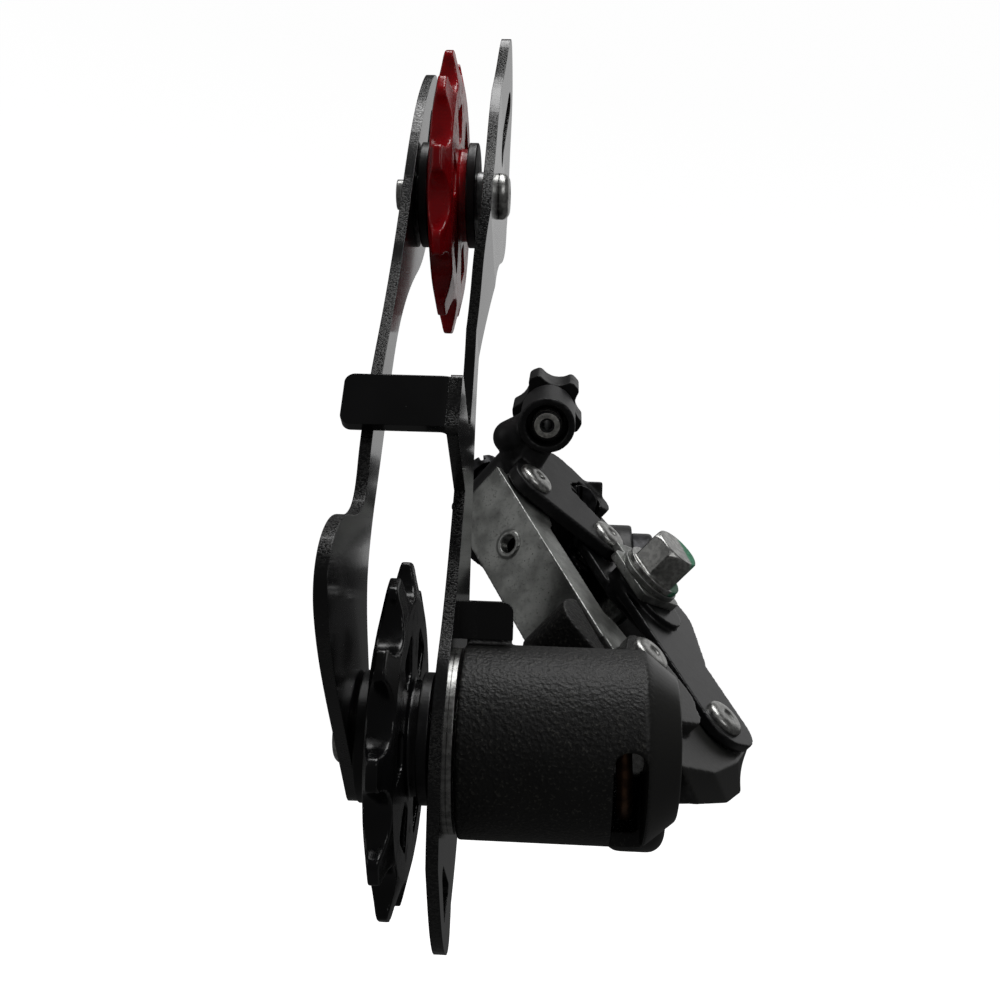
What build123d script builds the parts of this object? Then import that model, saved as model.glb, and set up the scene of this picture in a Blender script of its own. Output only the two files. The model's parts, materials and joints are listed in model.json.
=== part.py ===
from build123d import *
import os
from math import cos, pi, radians, sin

# Rear bicycle derailleur, long cage, for 12.7 mm pitch chain. Millimetres.
# The origin is on the hanger bolt's axis, at the shoulder that meets the frame's hanger.
# +X points outboard (away from the wheel); all wheel-like axes are parallel to X.
# The cage is at its relaxed stop and the parallelogram is at its outboard (high gear) stop.

# ---------------------------------------------------------------- driving dimensions
CHAIN_PITCH = 12.7
PULLEY_TEETH = 11
PULLEY_TIP_R = 23.0
ROLLER_R = 4.3
PULLEY_TIP_T = 1.3
PULLEY_RIM_T = 3.6
PULLEY_HUB_R = 7.6
PULLEY_HUB_T = 7.6
PULLEY_BORE_R = 4.0
BUSH_GAP = 0.05
SPOKE_WINDOWS = 6
TOOTH_ROUND = 1.0

CAGE_LENGTH = 93.6
CAGE_TILT = 28.15
PLATE_T = 1.6
PLATE_INNER_X = -5.0
PLATE_OUTER_X = 5.0
OUTER_JOGGLE = 1.6
OUTER_TOP_FLARE = 1.1
TAB_S = 39.7
TAB_W = 18.5
TAB_LONG = 15.8
TAB_WIDE = 7.9
TAB_BEND = 2.6
TAB_ROOT = 1.5
TAB_CORNER = 1.4
STOP_TAB_LONG = 9.2
STOP_TAB_WIDE = 5.2
CAP_R = 8.6
CAP_T = 0.6
CAP_LIP = 0.9
BOLT_R = 2.5
BOLT_HEAD_R = 3.8
BOLT_HEAD_T = 1.8
BOLT_OVERHANG = 2.4

HANGER_THREAD_R = 5.0
HANGER_THREAD_L = 9.0
HANGER_SLEEVE_R = 6.0
HANGER_BOSS_R = 9.5
HANGER_BOSS_L = 14.0
HANGER_HEAD_R = 8.0
HANGER_HEAD_T = 4.0
HANGER_HEX = 5.0
WASHER_T = 1.6
SCREW_R = 2.0
SCREW_SLOT = 0.8

KNUCKLE_R = 13.3
KNUCKLE_BORE_R = 11.2
KNUCKLE_START_X = 7.7
KNUCKLE_END_X = 32.4
KNUCKLE_NOSE_X = 37.0
KNUCKLE_NOSE_R = 9.6
AXLE_R = 4.5
AXLE_END_X = 35.4
CLIP_REACH = 1.6
SPRING_WIRE_R = 1.1
SPRING_MEAN_R = 8.7
SPRING_TURNS = 6.5
SPRING_LENGTH = 20
RETURN_WIRE_R = 0.5
RETURN_MEAN_R = 3.3
RETURN_LENGTH = 7.0
RETURN_TURNS = 5.5
SEAL_R = 12.7
SEAL_T = 0.7

PIN_R = 2.0
PIN_HEAD_R = 3.2
PIN_HEAD_T = 1.2
PIN_FIT = 0.04
PIN_OPEN_FIT = 0.25
PRESS_FIT = 0.01
BOLT_FIT = 0.02
CUT = 20
LUG_R = 5.0
LUG_T = 2.2
LINK_T = 1.6
LINK_GAP = 0.3
LINK_DEPTH = 12.0

ANCHOR_R = 2.5
ANCHOR_FLANGE_R = 5.2
ANCHOR_HEX = 8.0
ANCHOR_HEX_T = 5.4
PINCH_SIDE = 10.5
PINCH_T = 1.5
PINCH_LIFT = 0.1
ANCHOR_WASHER_T = 1.0
ANCHOR_FLANGE_T = 1.0
WINDOW_W = 4.3
KNOB_R = 6.5
KNOB_LOBES = 5
KNOB_NOTCH = 8.6
KNOB_NOTCH_R = 3.9
KNOB_ROUND = 0.9
KNOB_LONG = 7.5
BARREL_R = 2.5
BARREL_LONG = 14
BARREL_BORE_R = 0.9
KNOB_TURN = radians(-79)

# ---------------------------------------------------------------- places
# Centres are given from the guide pulley, then moved so that the hanger shoulder is the origin.
HANGER = Vector(18.0, 74.5, 18.0)
GUIDE = -HANGER
UP_CAGE = Vector(0, sin(radians(CAGE_TILT)), cos(radians(CAGE_TILT)))
TENSION = GUIDE + UP_CAGE * CAGE_LENGTH
P_AXIS = GUIDE + Vector(0, 8.8, -1.8)

# The four parallelogram pivots run along PIVOT_AXIS; each point is a pin head's outer face.
# The two NEAR points are then made square to the axis, so that the links form a parallelogram.
PIVOT_AXIS = Vector(0.64, -0.30, 0.71).normalized()
INNER_B = GUIDE + Vector(16.5, 44.9, 36.0)
INNER_P_NEAR = GUIDE + Vector(34.9, 22.4, 10.0)
OUTER_B_NEAR = GUIDE + Vector(29.1, 49.9, 26.7)


def flat_on_pivots(v):
    """The part of a vector that is square to the pivot axis."""
    return v - PIVOT_AXIS * v.dot(PIVOT_AXIS)


LINK = flat_on_pivots(INNER_P_NEAR - INNER_B)
SPREAD = flat_on_pivots(OUTER_B_NEAR - INNER_B)
LINK_DIR = LINK.normalized()
SIDE_DIR = PIVOT_AXIS.cross(LINK_DIR)
INNER_P = INNER_B + LINK
OUTER_B = INNER_B + SPREAD
OUTER_P = OUTER_B + LINK
SPREAD_U = SPREAD.dot(LINK_DIR)
SPREAD_W = SPREAD.dot(SIDE_DIR)

LUG_TOP = -PIN_HEAD_T
LUG_BOTTOM = LUG_TOP - LUG_T
FLANGE_TOP = LUG_BOTTOM - LINK_GAP
FLANGE_BOTTOM = FLANGE_TOP - LINK_DEPTH
LOWER_LUG_TOP = FLANGE_BOTTOM - LINK_GAP
LOWER_LUG_BOTTOM = LOWER_LUG_TOP - LUG_T
PIN_END = LOWER_LUG_BOTTOM - 0.6
ARM_WIDEST = -8.0
ARM_BOTTOM = FLANGE_BOTTOM + LINK_T + LINK_GAP
ANCHOR_U = 11.5
ANCHOR_SEAT = LUG_TOP + 0.2
BRIDGE_TOP = LUG_TOP - 1.0

STOP_TIP = GUIDE + Vector(17.4, 46.0, 44.3)
STOP_DIR = Vector(0.0, 0.95, 0.31).normalized()
BOSS_START = WASHER_T + 0.1
BOSS_END = BOSS_START + HANGER_BOSS_L

# Screws are (head's outer face, tip).
SCREW_ROOT = INNER_B - LINK_DIR * 16.5 + PIVOT_AXIS * -11.5
HIGH_SCREW = (SCREW_ROOT + SIDE_DIR * 6.5, SCREW_ROOT + SIDE_DIR * 6.5 + LINK_DIR * 14)
LOW_SCREW = (SCREW_ROOT + SIDE_DIR * 13.5, SCREW_ROOT + SIDE_DIR * 13.5 + LINK_DIR * 14)
TENSION_SCREW = (Vector(5.4, -14.5, 13.5), Vector(5.4, -0.2, 13.5))

MIN = (Align.CENTER, Align.CENTER, Align.MIN)


# ---------------------------------------------------------------- helpers
def place(x, y, z):
    """A point given from the guide pulley's centre, in the part's frame."""
    return GUIDE + Vector(x, y, z)


def link_plane(level, base=INNER_B):
    """Plane square to the pivots: x along the links, y towards the outer link."""
    return Plane(origin=base + PIVOT_AXIS * level, x_dir=LINK_DIR, z_dir=PIVOT_AXIS)


def cage_plane(x):
    """Plane parallel to the plates: x along the cage, y towards its front edge."""
    return Plane(origin=GUIDE + Vector(x, 0, 0), x_dir=UP_CAGE, z_dir=(1, 0, 0))


def axis_plane(centre, x):
    """Plane square to X through an X-parallel axis."""
    return Plane(origin=(x, centre.Y, centre.Z), x_dir=(0, 1, 0), z_dir=(1, 0, 0))


def rod(start, end, radius):
    """Solid cylinder between two points."""
    span = end - start
    return Plane(origin=start, z_dir=span) * Cylinder(radius, span.length, align=MIN)


def along_x(centre, x0, x1, radius):
    """Solid cylinder on an X-parallel axis through centre; x0 and x1 in the part's frame."""
    return axis_plane(centre, x0) * Cylinder(radius, x1 - x0, align=MIN)


def along_pivot(point, top, bottom, radius):
    """Solid cylinder on a pivot axis between two levels."""
    start = point + PIVOT_AXIS * bottom
    end = point + PIVOT_AXIS * top
    return rod(start, end, radius)


def hull(*circles):
    """Flat face round a set of (x, y, radius) circles."""
    edges = ShapeList()
    for x, y, radius in circles:
        edges += (Pos(x, y) * Circle(radius)).edges()
    return make_hull(edges)


def flowing_outline(corners):
    """Closed outline without corners: it touches the middle of each side of the polygon."""
    bends = []
    for before, corner, after in zip(corners[-1:] + corners[:-1], corners, corners[1:] + corners[:1]):
        start = ((before[0] + corner[0]) / 2, (before[1] + corner[1]) / 2)
        end = ((corner[0] + after[0]) / 2, (corner[1] + after[1]) / 2)
        bends.append(Bezier(start, corner, end))
    return make_face(bends)


def smooth_outline(points, radius):
    """Closed outline through corner points, every corner rounded."""
    return make_face(FilletPolyline(*points, radius=radius, close=True))


def bent_band(stations, thickness, half_width):
    """Sheet of even thickness whose X offset follows (along, offset) stations, on the cage."""
    outer = [(s, x + thickness) for s, x in reversed(stations)]
    band = make_face(Polyline(*stations, *outer, close=True))
    plane = Plane(origin=GUIDE, x_dir=UP_CAGE, z_dir=cage_plane(0).y_dir * -1)
    return extrude(plane * band, amount=half_width, both=True)


# ---------------------------------------------------------------- cage
def outer_plate():
    """Outboard cage plate with its chain tab and its stop tab."""
    front = [(-25.6, -13), (-24.6, -5.5), (-18, 1), (-10, 6), (-2, 9.4), (6, 8.6), (14, 5.6), (26, 4)]
    front += [(43, 3.8), (57, 4), (65, 6.5), (72, 13.4), (81, 14.6), (92, 13), (100, 12.8), (110, 10.6)]
    front += [(118, 11), (121, 9.5), (121, 4)]
    back = [(119.5, -4), (113, -12), (109, -20), (104, -23.5), (96, -20), (84, -6), (72, -2.4), (60, -1.6)]
    back += [(50, -5), (40, -10), (30, -15.5), (18, -22), (4, -26), (-10, -25.5), (-22, -20)]
    outline = flowing_outline(front + back)
    plate = extrude(cage_plane(0) * outline, amount=CUT)
    low = PLATE_OUTER_X
    high = low + OUTER_JOGGLE
    stations = [(-29, low + 0.9), (-17, low), (62, low), (78, high), (106, high)]
    stations += [(123, high + OUTER_TOP_FLARE)]
    plate &= bent_band(stations, PLATE_T, 40)
    slot = cage_plane(0) * Pos(109, 0) * SlotOverall(16, 4.6)
    plate -= extrude(slot, amount=CUT)
    window = smooth_outline([(-22, -9), (-15, -4), (-15.5, -18)], 1.0)
    plate -= extrude(cage_plane(0) * window, amount=CUT)
    ear = Pos(TAB_S, TAB_W / 2) * RectangleRounded(TAB_WIDE + 1.5, TAB_W + 3, 1.2)
    plate += extrude(cage_plane(low) * ear, amount=PLATE_T)
    plate += chain_tab()
    plate += stop_tab()
    plate -= along_x(GUIDE, GUIDE.X - CUT, GUIDE.X + CUT, BOLT_R + BOLT_FIT)
    plate -= along_x(TENSION, GUIDE.X - CUT, GUIDE.X + CUT, BOLT_R + BOLT_FIT)
    plate -= along_x(P_AXIS, GUIDE.X - CUT, GUIDE.X + CUT, AXLE_R)
    return plate


def chain_tab():
    """Tab bent inboard across the front of the chain."""
    x1 = PLATE_OUTER_X + PLATE_T
    arc = TAB_BEND - PLATE_T
    start = GUIDE + UP_CAGE * TAB_S
    plane = Plane(origin=start, x_dir=(1, 0, 0), z_dir=UP_CAGE)
    tip_y = -TAB_W - TAB_ROOT
    bar = Pos(x1 - TAB_LONG / 2, tip_y + PLATE_T / 2) * Rectangle(TAB_LONG, PLATE_T)
    leg = Pos(x1 - PLATE_T / 2, -TAB_W / 2 - TAB_ROOT) * Rectangle(PLATE_T, TAB_W)
    section = bar + leg
    outer = section.vertices().sort_by(lambda v: v.Y - v.X)[0]
    section = fillet(outer, TAB_BEND)
    bend_x = x1 - PLATE_T
    bend_y = tip_y + PLATE_T
    inner = section.vertices().sort_by(lambda v: abs(v.X - bend_x) + abs(v.Y - bend_y))[0]
    section = fillet(inner, arc)
    tab = extrude(plane * section, amount=TAB_WIDE / 2, both=True)
    short = tab.edges().filter_by(lambda e: e.length < PLATE_T * 1.1)
    end = short.filter_by(lambda e: abs((e % 0).dot(cage_plane(0).y_dir)) > 0.99)
    return fillet(end.group_by(Axis.X)[0], TAB_CORNER)


def stop_tab():
    """Tab bent outboard that meets the knuckle's stop when the cage is relaxed."""
    centre = place(PLATE_OUTER_X + STOP_TAB_LONG / 2, 8.6, 14.9)
    tab = Pos(centre) * Box(STOP_TAB_LONG, PLATE_T, STOP_TAB_WIDE)
    corner = tab.edges().filter_by(Axis.Y).sort_by(lambda e: e.center().X + e.center().Z)[-1]
    return fillet(corner, TAB_CORNER)


def inner_plate():
    """Inboard cage plate with the chain guard lobe."""
    front = [(-8, -5), (-6.5, 0), (-4, 9), (-1, 20), (2, 28), (6, 33.6), (12, 33.8), (18, 29)]
    front += [(22, 20), (27, 16.4), (35, 17.8), (46, 16.2), (63, 12), (80, 9.8), (94, 9), (106, 7)]
    front += [(116, 3.5), (124, -1)]
    back = [(125, -5), (121, -9.5), (112, -12), (98, -12.5), (87, -9.5), (75, 0), (64, 6), (54, 8.5)]
    back += [(38, 9), (24, 10.5), (16, 8), (8, -2), (2, -8.5), (-5, -9)]
    outline = flowing_outline(front + back)
    plate = extrude(cage_plane(PLATE_INNER_X - PLATE_T) * outline, amount=PLATE_T)
    slot = cage_plane(PLATE_INNER_X - PLATE_T) * Pos(108, -2.5) * SlotOverall(14, 4.4)
    plate -= extrude(slot, amount=PLATE_T)
    for centre in (GUIDE, TENSION):
        plate -= along_x(centre, GUIDE.X - 10, GUIDE.X, BOLT_R + BOLT_FIT)
    return plate


def pulley():
    """Toothed chain wheel centred on the origin, its axis along X."""
    pitch_r = CHAIN_PITCH / 2 / sin(pi / PULLEY_TEETH)
    disc = Circle(PULLEY_TIP_R)
    for i in range(PULLEY_TEETH):
        angle = 2 * pi * i / PULLEY_TEETH
        disc -= Pos(pitch_r * cos(angle), pitch_r * sin(angle)) * Circle(ROLLER_R)
    disc = offset(offset(disc, amount=-TOOTH_ROUND), amount=TOOTH_ROUND)
    body = extrude(Plane.YZ * disc, amount=PULLEY_RIM_T / 2, both=True)
    root_r = pitch_r - ROLLER_R
    tip_x = PULLEY_TIP_T / 2
    side_x = PULLEY_RIM_T / 2
    half = [(0, 0), (side_x, 0), (side_x, root_r - 0.2), (tip_x, PULLEY_TIP_R), (0, PULLEY_TIP_R)]
    taper = make_face(Polyline(*half, close=True))
    wedge = revolve(taper, Axis.X)
    body &= wedge + mirror(wedge, Plane.YZ)
    rim = Circle(root_r - 0.6) - Circle(root_r - 3.4)
    body += extrude(Plane.YZ * rim, amount=PULLEY_RIM_T / 2, both=True)
    body += extrude(Plane.YZ * Circle(PULLEY_HUB_R), amount=PULLEY_HUB_T / 2, both=True)
    window = smooth_outline([(9.0, -2.0), (9.0, 2.0), (14.4, 3.6), (14.4, -3.6)], 0.9)
    for i in range(SPOKE_WINDOWS):
        turned = Plane.YZ * Rot(0, 0, 360 / SPOKE_WINDOWS * i) * window
        body -= extrude(turned, amount=PULLEY_RIM_T, both=True)
    body -= Plane.YZ * Cylinder(PULLEY_BORE_R, 30)
    return body


def cap_ring(centre, x, outward):
    """Dust cap: a thin dish beside a pulley hub, its lip towards the pulley."""
    plane = axis_plane(centre, GUIDE.X + x)
    dish = plane * Cylinder(CAP_R, CAP_T)
    lip = plane * Pos(0, 0, -outward * CAP_LIP / 2) * Cylinder(CAP_R, CAP_T + CAP_LIP)
    lip -= plane * Cylinder(PULLEY_HUB_R + 0.3, 10)
    dish += lip
    dish -= plane * Cylinder(PULLEY_BORE_R, 10)
    return dish


def bush(centre, x0, x1):
    """Sleeve on which a pulley turns, clamped between the plates by its bolt."""
    tube = along_x(centre, GUIDE.X + x0, GUIDE.X + x1, PULLEY_BORE_R - BUSH_GAP)
    tube -= along_x(centre, GUIDE.X + x0, GUIDE.X + x1, BOLT_R + BOLT_FIT)
    return tube


def pulley_bolt(centre, x0, x1, head_at_end):
    """Pulley bolt with a low domed head and a hex socket."""
    bolt = along_x(centre, GUIDE.X + x0, GUIDE.X + x1, BOLT_R)
    seat = x1 if head_at_end else x0
    out = 1 if head_at_end else -1
    plane = Plane(origin=(GUIDE.X + seat, centre.Y, centre.Z), z_dir=(out, 0, 0))
    head = Cylinder(BOLT_HEAD_R, BOLT_HEAD_T, align=MIN)
    head = fillet(head.edges().sort_by(Axis.Z)[-1], BOLT_HEAD_T * 0.8)
    head -= Pos(0, 0, BOLT_HEAD_T - 1.6) * extrude(RegularPolygon(1.7, 6), amount=2)
    return bolt + plane * head


# ---------------------------------------------------------------- pivot knuckle
def p_knuckle():
    """Spring housing with its end nose and the lugs that hold both links."""
    x0 = GUIDE.X + KNUCKLE_START_X
    x1 = GUIDE.X + KNUCKLE_END_X
    x2 = GUIDE.X + KNUCKLE_NOSE_X
    body = along_x(P_AXIS, x0, x1, KNUCKLE_R)
    cone = Cone(KNUCKLE_R, KNUCKLE_NOSE_R, x2 - x1, align=MIN)
    body += axis_plane(P_AXIS, x1) * cone
    seat_top = BRIDGE_TOP - LINK_T - LINK_GAP
    seat_low = FLANGE_BOTTOM + LINK_T + LINK_GAP
    flat = hull((0, 0, LUG_R), (-9, -8, 5), (-17, -19.5, 5), (4, -12, 3.5))
    body += extrude(link_plane(seat_low, OUTER_P) * flat, amount=seat_top - seat_low)
    body += arm()
    body += upper_lug()
    stop = place(KNUCKLE_START_X + 3.1, 13.0, 12.6)
    body += Pos(stop) * Box(6.2, 4.4, 7.0)
    body += knuckle_foot()
    body -= link_sweep_room()
    low_lug = hull((0, 0, 4.2), (6, -9, 4.2))
    body += extrude(link_plane(LOWER_LUG_BOTTOM, INNER_P) * low_lug, amount=LUG_T)
    body -= along_x(P_AXIS, x0 - 5, x1 - 0.6, KNUCKLE_BORE_R)
    axle_end = GUIDE.X + AXLE_END_X
    body -= along_x(P_AXIS, x0 - 5, axle_end + 0.2, AXLE_R + PIN_FIT)
    body -= along_x(P_AXIS, axle_end - 2.0, axle_end - 1.0, AXLE_R + CLIP_REACH + 0.4)
    window = Pos(place(KNUCKLE_END_X - WINDOW_W / 2, -3, -10)) * Box(WINDOW_W, 16, 20)
    top = window.edges().filter_by(Axis.Y).group_by(Axis.Z)[-1]
    body -= fillet(top, WINDOW_W / 2 - 0.1)
    for point in (INNER_P, OUTER_P):
        body -= along_pivot(point, 5, PIN_END - 2, PIN_R + PRESS_FIT)
    return body


def arm():
    """Tapered arm between the housing's end and the outer link's lug."""
    top = [(-7, -5), (-4, 4), (-0.5, 7.4), (3, 7.2), (6.6, 0), (9.6, -10), (9.4, -19), (0, -22)]
    widest = [(-7, -5), (-4, 4), (-0.5, 8), (5, 7.4), (9, 4), (11.3, -2.5), (12.3, -12), (2, -22)]
    low = [(-7, -5), (-4, 3), (-0.5, 6), (3, 6), (6, 1), (7.5, -5), (7.5, -14), (0, -22)]
    levels = [(BRIDGE_TOP - LINK_T - LINK_GAP, top), (ARM_WIDEST, widest), (ARM_BOTTOM, low)]
    shapes = []
    for level, corners in levels:
        shapes.append(link_plane(level, OUTER_P) * make_face(Polyline(*corners, close=True)))
    return loft(shapes, ruled=True)


def upper_lug():
    """Lug over the inner link's end, joined to the housing outboard of the link."""
    top = hull((0, 0, LUG_R - 0.8), (6.5, 2.0, 3.6), (8, -8, 4.5))
    lug = extrude(link_plane(LUG_BOTTOM, INNER_P) * top, amount=LUG_T)
    post = hull((9.5, 1.0, 3.2), (9.5, -9, 4.0))
    lug += extrude(link_plane(FLANGE_TOP - 7, INNER_P) * post, amount=7 + LUG_T + LINK_GAP)
    return lug


def knuckle_foot():
    """Rounded foot under the housing's outboard end."""
    foot = along_x(P_AXIS + Vector(0, 4.5, -8.2), GUIDE.X + 27.5, GUIDE.X + 36, 7.2)
    return fillet(foot.edges(), 2.4)


def link_sweep_room():
    """Space that the inner link's end turns in."""
    level = FLANGE_BOTTOM - LINK_GAP
    room = hull((0, 0, LUG_R + 1.0), (-30, 3, LUG_R + 2), (-22, 22, LUG_R + 2))
    return extrude(link_plane(level, INNER_P) * room, amount=FLANGE_TOP + LINK_GAP - level)


def axle():
    """Hollow cage axle, riveted into the outer plate and ending inside the housing's nose."""
    x0 = GUIDE.X + PLATE_OUTER_X
    x1 = GUIDE.X + AXLE_END_X
    shoulder = x0 + PLATE_T
    body = along_x(P_AXIS, x0, x1, AXLE_R)
    body += along_x(P_AXIS, shoulder, shoulder + SEAL_T, AXLE_R + 3)
    body -= along_x(P_AXIS, x0 - 2, x1 + 1, 2.0)
    groove = along_x(P_AXIS, x1 - 1.9, x1 - 1.1, AXLE_R + 1)
    groove -= along_x(P_AXIS, x1 - 1.9, x1 - 1.1, AXLE_R - 0.6)
    return body - groove


def clip():
    """Open snap ring that sits in the axle's groove and in the housing's."""
    x1 = GUIDE.X + AXLE_END_X
    ring = along_x(P_AXIS, x1 - 1.85, x1 - 1.15, AXLE_R + CLIP_REACH)
    ring -= along_x(P_AXIS, x1 - 1.85, x1 - 1.15, AXLE_R - 0.55)
    mouth = Pos(x1, P_AXIS.Y, P_AXIS.Z + 6) * Box(6, 5.5, 12)
    return ring - mouth


def coil(centre, direction, length, mean_r, wire_r, turns):
    """Round wire helix on an axis."""
    path = Helix(length / turns, length, mean_r)
    wire = Plane(origin=path @ 0, z_dir=path % 0) * Circle(wire_r)
    return Plane(origin=centre, z_dir=direction) * sweep(wire, path=path)


# ---------------------------------------------------------------- links
def inner_link():
    """Zinc plated channel: web towards the wheel, flanges on both ends of the pins."""
    span = LINK.length
    flange = hull((0, 0, 4.2), (6, -1.2, 3.4)) + hull((span, 0, 4.2), (span - 8, -1.2, 3.2))
    flange += Pos(span / 2, -2.9) * Rectangle(span - 10, 3.8)
    link = extrude(link_plane(FLANGE_TOP - LINK_T) * flange, amount=LINK_T)
    link += extrude(link_plane(FLANGE_BOTTOM) * flange, amount=LINK_T)
    web_plane = Plane(origin=INNER_B + SIDE_DIR * -4.9, x_dir=LINK_DIR, z_dir=SIDE_DIR)
    levels = [(-4.2, -FLANGE_TOP), (span - 5, -FLANGE_TOP), (span - 9, -FLANGE_BOTTOM)]
    levels += [(-4.2, -FLANGE_BOTTOM)]
    web = make_face(Polyline(*levels, close=True))
    link += extrude(web_plane * web, amount=LINK_T)
    strip = Pos(span / 2 - 4, 0) * Rectangle(span - 9, 5.2)
    for level in (FLANGE_TOP - LINK_T, FLANGE_BOTTOM):
        edge = link_plane(level) * Pos(0, -2.3) * strip
        link += extrude(edge, amount=LINK_T)
    hole = web_plane * Pos(9.2, -FLANGE_TOP + 5.6)
    link += hole * Cylinder(2.3, 0.8)
    link -= hole * Cylinder(1.5, 6)
    link -= along_pivot(INNER_B, 5, PIN_END - 2, PIN_R + PIN_FIT)
    link -= along_pivot(INNER_P, 5, PIN_END - 2, PIN_R + PIN_OPEN_FIT)
    return link


def outer_link():
    """Black stamped channel: web outboard, with the seat for the cable anchor."""
    span = LINK.length
    web_y = LUG_R + 0.4
    edge = web_y + LINK_T - 4.8
    low = hull((0, 0, 4.8), (0, edge, 4.8), (9, 0, 4.8), (9, edge, 4.8))
    link = extrude(link_plane(FLANGE_TOP - LINK_T, OUTER_B) * low, amount=LINK_T)
    high = hull((ANCHOR_U, 0, 4.9), (ANCHOR_U, edge, 4.8), (span, 0, 4.8), (span, edge, 4.8))
    high += hull((ANCHOR_U, 4, 6), (ANCHOR_U + 3, 8, 5.5), (ANCHOR_U + 12, 4, 4.6))
    link += extrude(link_plane(BRIDGE_TOP - LINK_T, OUTER_B) * high, amount=LINK_T)
    pad = hull((ANCHOR_U, 0, 4.9), (ANCHOR_U + 4, edge, 4.8))
    height = ANCHOR_SEAT - FLANGE_TOP + LINK_T
    link += extrude(link_plane(FLANGE_TOP - LINK_T, OUTER_B) * pad, amount=height)
    bottom = hull((0, 0, 4.8), (0, edge, 4.8), (span, 0, 4.8), (span, edge, 4.8))
    link += extrude(link_plane(FLANGE_BOTTOM, OUTER_B) * bottom, amount=LINK_T)
    web_plane = Plane(origin=OUTER_B + SIDE_DIR * web_y, x_dir=LINK_DIR, z_dir=SIDE_DIR)
    corners = [(-2, -FLANGE_TOP), (ANCHOR_U - 4, -FLANGE_TOP), (ANCHOR_U - 2, -BRIDGE_TOP)]
    corners += [(span - 8, -BRIDGE_TOP), (span - 9, -FLANGE_BOTTOM), (-2, -FLANGE_BOTTOM)]
    link += extrude(web_plane * make_face(Polyline(*corners, close=True)), amount=LINK_T)
    link -= along_pivot(OUTER_B, 5, PIN_END - 2, PIN_R + PIN_FIT)
    link -= along_pivot(OUTER_P, 5, PIN_END - 2, PIN_R + PIN_FIT)
    link -= along_pivot(OUTER_B + LINK_DIR * ANCHOR_U, 5, FLANGE_TOP - 4, ANCHOR_R)
    return link


def pivot_pin(point, top, end):
    """Riveted pin: round head, shank, and a short upset tail."""
    pin = along_pivot(point, top, end, PIN_R)
    head = along_pivot(point, top, top - PIN_HEAD_T, PIN_HEAD_R)
    rim = head.edges().filter_by(GeomType.CIRCLE).sort_by(lambda e: e.center().dot(PIVOT_AXIS))[-1]
    return pin + fillet(rim, 0.6)


# ---------------------------------------------------------------- bracket knuckle
def b_knuckle():
    """Cast body: hanger boss, link lugs, and the arm that carries the barrel adjuster."""
    boss = along_x(Vector(), BOSS_START, BOSS_END, HANGER_BOSS_R)
    shape = hull((0, 0, 4.2), (SPREAD_U, SPREAD_W, 4.2), (-6, 6, 3.5))
    body = extrude(link_plane(LUG_BOTTOM) * shape, amount=LUG_T)
    body += extrude(link_plane(LOWER_LUG_BOTTOM) * shape, amount=LUG_T)
    wall = hull((-9, 4, 3.5), (-9, 14, 4.0), (-3, 20.5, 3.0))
    height = LUG_TOP - LOWER_LUG_BOTTOM
    body += extrude(link_plane(LOWER_LUG_BOTTOM) * wall, amount=height)
    bridge = hull((-9, 10, 3.5), (-2, 24, 4.5), (4, 27, 4.5), (SPREAD_U - 2, SPREAD_W + 11.5, 3))
    body += extrude(link_plane(LOWER_LUG_BOTTOM) * bridge, amount=height - 4)
    body += boss
    body += stop_boss()
    body += tension_screw_lug()
    body -= along_x(Vector(), BOSS_END, 60, HANGER_HEAD_R + 0.6)
    body -= along_x(Vector(), -30, BOSS_START, HANGER_BOSS_R + 1.5)
    body -= along_x(Vector(), -5, BOSS_END + 5, HANGER_SLEEVE_R + PIN_FIT)
    tongue_room = Box(15, 18, 12.6, align=(Align.MAX, Align.MIN, Align.MIN))
    body -= Pos(9.8, -3.2, HANGER_BOSS_R + 0.1) * tongue_room
    for head, tip in (HIGH_SCREW, LOW_SCREW, TENSION_SCREW):
        body -= rod(head, tip * 2 - head, SCREW_R + PIN_FIT)
        body -= rod(head * 1.2 - tip * 0.2, head + (tip - head).normalized() * 2.4, SCREW_R + 1.6)
    for point in (INNER_B, OUTER_B):
        body -= along_pivot(point, 5, PIN_END - 2, PIN_R + PRESS_FIT)
    return body


def stop_boss():
    """Round boss for the barrel adjuster, on a neck that rises from the lugs."""
    boss = rod(STOP_TIP, STOP_TIP + STOP_DIR * 11, 4.8)
    wing = place(11.0, 50.5, 42.5)
    foot = INNER_B + LINK_DIR * -7.0 + SIDE_DIR * 3 + PIVOT_AXIS * -3.5
    boss += rod(foot, STOP_TIP + STOP_DIR * 5 + Vector(0.5, 0, 0), 3.3)
    boss += rod(wing, STOP_TIP + STOP_DIR * 5, 3.0)
    boss += rod(foot, wing, 2.6) + Pos(wing) * Sphere(3.0) + Pos(foot) * Sphere(2.6)
    boss -= rod(STOP_TIP - STOP_DIR * 3, STOP_TIP + STOP_DIR * 3, 3.6)
    boss -= rod(STOP_TIP - STOP_DIR * 3, STOP_TIP + STOP_DIR * BARREL_LONG, BARREL_R + 0.03)
    return boss


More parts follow.
